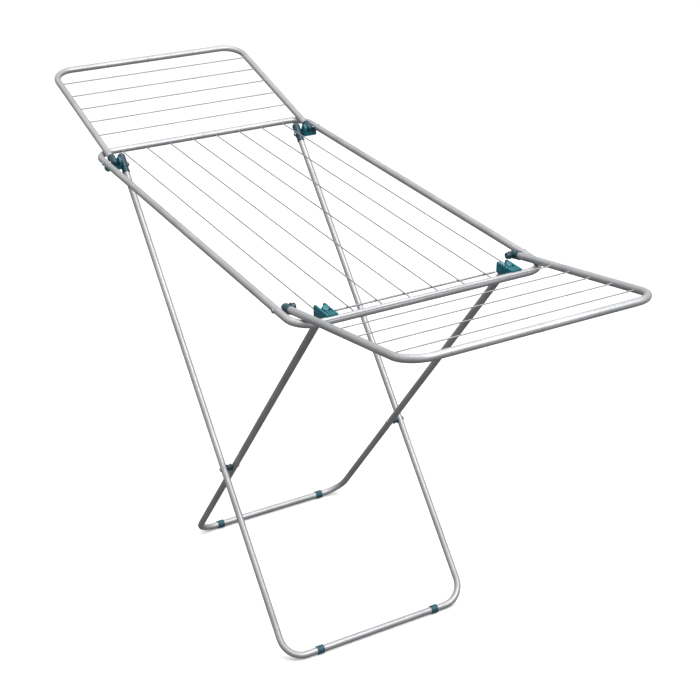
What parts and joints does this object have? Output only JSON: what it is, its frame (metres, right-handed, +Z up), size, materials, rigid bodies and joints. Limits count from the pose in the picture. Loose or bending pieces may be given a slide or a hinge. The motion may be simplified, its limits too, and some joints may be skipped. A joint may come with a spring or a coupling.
{
  "type": "clothes drying rack",
  "caption": "Folding clothes drying rack: crossed tubular legs carry a flat deck of wires, with a hinged wire wing at each end.",
  "frame": {"origin": "on the floor, under the middle of the whole rack opened out", "axes": "+X along the deck from the bar where the outer leg frame is hinged to the bar that hooks on the inner leg frame, +Y to the right of someone facing that front bar from outside, +Z up"},
  "size_m": [1.7436, 0.5698, 1.0196],
  "materials": {
    "coated_tube": "silver grey powder coat, satin",
    "coated_wire": "silver grey powder coat, satin",
    "teal_plastic": "injection moulded, semi-gloss",
    "dark_plastic": "injection moulded, semi-gloss",
    "foot_plastic": "injection moulded, matt",
    "rivet_steel": "zinc plated",
    "zinc_steel": "zinc plated"
  },
  "bodies": {
    "outer_leg": {"cross_rivet_left": "rivet_steel", "cross_rivet_right": "rivet_steel", "cross_spacer_left": "dark_plastic", "cross_spacer_right": "dark_plastic", "outer_foot_left": "foot_plastic", "outer_foot_right": "foot_plastic", "outer_leg_cap_left": "dark_plastic", "outer_leg_cap_right": "dark_plastic", "outer_leg_tube": "coated_tube"},
    "deck": {"deck_cross_wire": "coated_wire", "deck_spigot": "zinc_steel", "deck_tube": "coated_tube", "deck_wire_1": "coated_wire", "deck_wire_2": "coated_wire", "deck_wire_3": "coated_wire", "deck_wire_4": "coated_wire", "deck_wire_5": "coated_wire", "deck_wire_6": "coated_wire", "deck_wire_7": "coated_wire", "deck_wire_8": "coated_wire", "front_catch_left": "teal_plastic", "front_catch_right": "teal_plastic", "front_wing_nut_left": "dark_plastic", "front_wing_nut_right": "dark_plastic", "front_wing_pin_left": "rivet_steel", "front_wing_pin_right": "rivet_steel", "leg_hinge_pin_left": "rivet_steel", "leg_hinge_pin_right": "rivet_steel", "rear_bracket_left": "teal_plastic", "rear_bracket_right": "teal_plastic", "rear_wing_pin_left": "rivet_steel", "rear_wing_pin_right": "rivet_steel"},
    "inner_leg": {"inner_foot_left": "foot_plastic", "inner_foot_right": "foot_plastic", "inner_leg_plug_left": "teal_plastic", "inner_leg_plug_right": "teal_plastic", "inner_leg_spigot": "zinc_steel", "inner_leg_tube_left": "coated_tube", "inner_leg_tube_right": "coated_tube"},
    "rear_wing": {"rear_wing_cap_left": "dark_plastic", "rear_wing_cap_right": "dark_plastic", "rear_wing_spigot": "zinc_steel", "rear_wing_tube_left": "coated_tube", "rear_wing_tube_right": "coated_tube", "rear_wing_wire_1": "coated_wire", "rear_wing_wire_2": "coated_wire", "rear_wing_wire_3": "coated_wire", "rear_wing_wire_4": "coated_wire", "rear_wing_wire_5": "coated_wire"},
    "front_wing": {"front_wing_cap_left": "dark_plastic", "front_wing_cap_right": "dark_plastic", "front_wing_spigot": "zinc_steel", "front_wing_tube_left": "coated_tube", "front_wing_tube_right": "coated_tube", "front_wing_wire_1": "coated_wire", "front_wing_wire_2": "coated_wire", "front_wing_wire_3": "coated_wire", "front_wing_wire_4": "coated_wire", "front_wing_wire_5": "coated_wire"}
  },
  "joints": [
    {"name": "deck_fold", "type": "hinge", "parent": "outer_leg", "child": "deck", "pos_m": [-0.45668, 0, 0.895], "axis": [0, 1, 0], "range_deg": [0, 47.45]},
    {"name": "leg_scissor", "type": "hinge", "parent": "outer_leg", "child": "inner_leg", "pos_m": [0.05297, 0, 0.33828], "axis": [0, -1, 0], "range_deg": [0, 79.43]},
    {"name": "rear_wing_fold", "type": "hinge", "parent": "deck", "child": "rear_wing", "pos_m": [-0.44968, 0, 0.909], "axis": [0, 1, 0], "range_deg": [0, 164.62]},
    {"name": "front_wing_fold", "type": "hinge", "parent": "deck", "child": "front_wing", "pos_m": [0.43332, 0, 0.909], "axis": [0, -1, 0], "range_deg": [0, 167.23]}
  ],
  "couplings": [
    {"joint": "leg_scissor", "follows": "deck_fold", "ratio": 1.6739}
  ]
}
